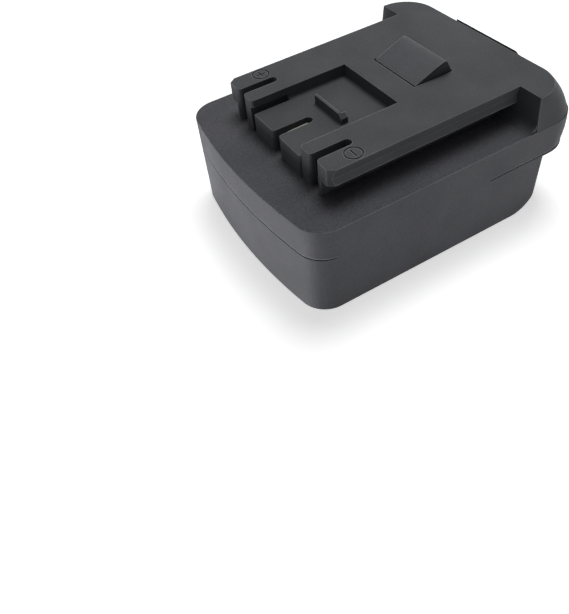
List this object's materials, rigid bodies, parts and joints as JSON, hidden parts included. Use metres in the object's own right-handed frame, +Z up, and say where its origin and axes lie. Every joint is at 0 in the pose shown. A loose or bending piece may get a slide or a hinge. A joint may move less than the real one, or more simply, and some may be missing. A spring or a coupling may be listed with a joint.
{
  "type": "tool battery adapter",
  "caption": "Slide-on adapter between a tool and a battery pack: railed deck with sprung latch, contact slots, bladed bay under lips and a rounded rear grip.",
  "frame": {"origin": "centre of the bounding box, on the plane of the battery-side rim", "axes": "+X along the slide towards the release button, the bowed front end at -X, +Z up towards the tool side, +Y towards the plus contact"},
  "size_m": [0.103, 0.078, 0.0468],
  "materials": {
    "case_plastic": "fine spark texture",
    "deck_plastic": "satin",
    "latch_plastic": "satin",
    "carrier_plastic": "satin",
    "strip_plastic": "satin",
    "contact_metal": "nickel plated",
    "screw_steel": "zinc plated",
    "spring_steel": "drawn wire",
    "red_insulation": "smooth",
    "black_insulation": "smooth",
    "resistor_body": "lacquered"
  },
  "bodies": {
    "case": {"lower_shell": "case_plastic", "upper_shell": "case_plastic", "rail_deck": "deck_plastic", "blade_carrier": "carrier_plastic", "positive_blade": "contact_metal", "negative_blade": "contact_metal", "clip_carrier": "carrier_plastic", "positive_clip": "contact_metal", "negative_clip": "contact_metal", "signal_clip": "contact_metal", "positive_lead": "red_insulation", "negative_lead": "black_insulation", "signal_resistor": "resistor_body", "wave_strip_left": "strip_plastic", "wave_strip_right": "strip_plastic", "case_screws": "screw_steel", "ledge_screws": "screw_steel", "deck_screws": "screw_steel", "carrier_screws": "screw_steel", "latch_spring_left": "spring_steel", "latch_spring_right": "spring_steel"},
    "latch": {"latch_slider": "latch_plastic", "release_button": "latch_plastic"}
  },
  "joints": [
    {"name": "latch_slide", "type": "slide", "parent": "case", "child": "latch", "axis": [0, 0, -1], "range_m": [0, 0.0043], "stiffness_N_per_m": 3400, "springref_m": -0.003, "deforming": ["latch_spring_left", "latch_spring_right"]}
  ]
}
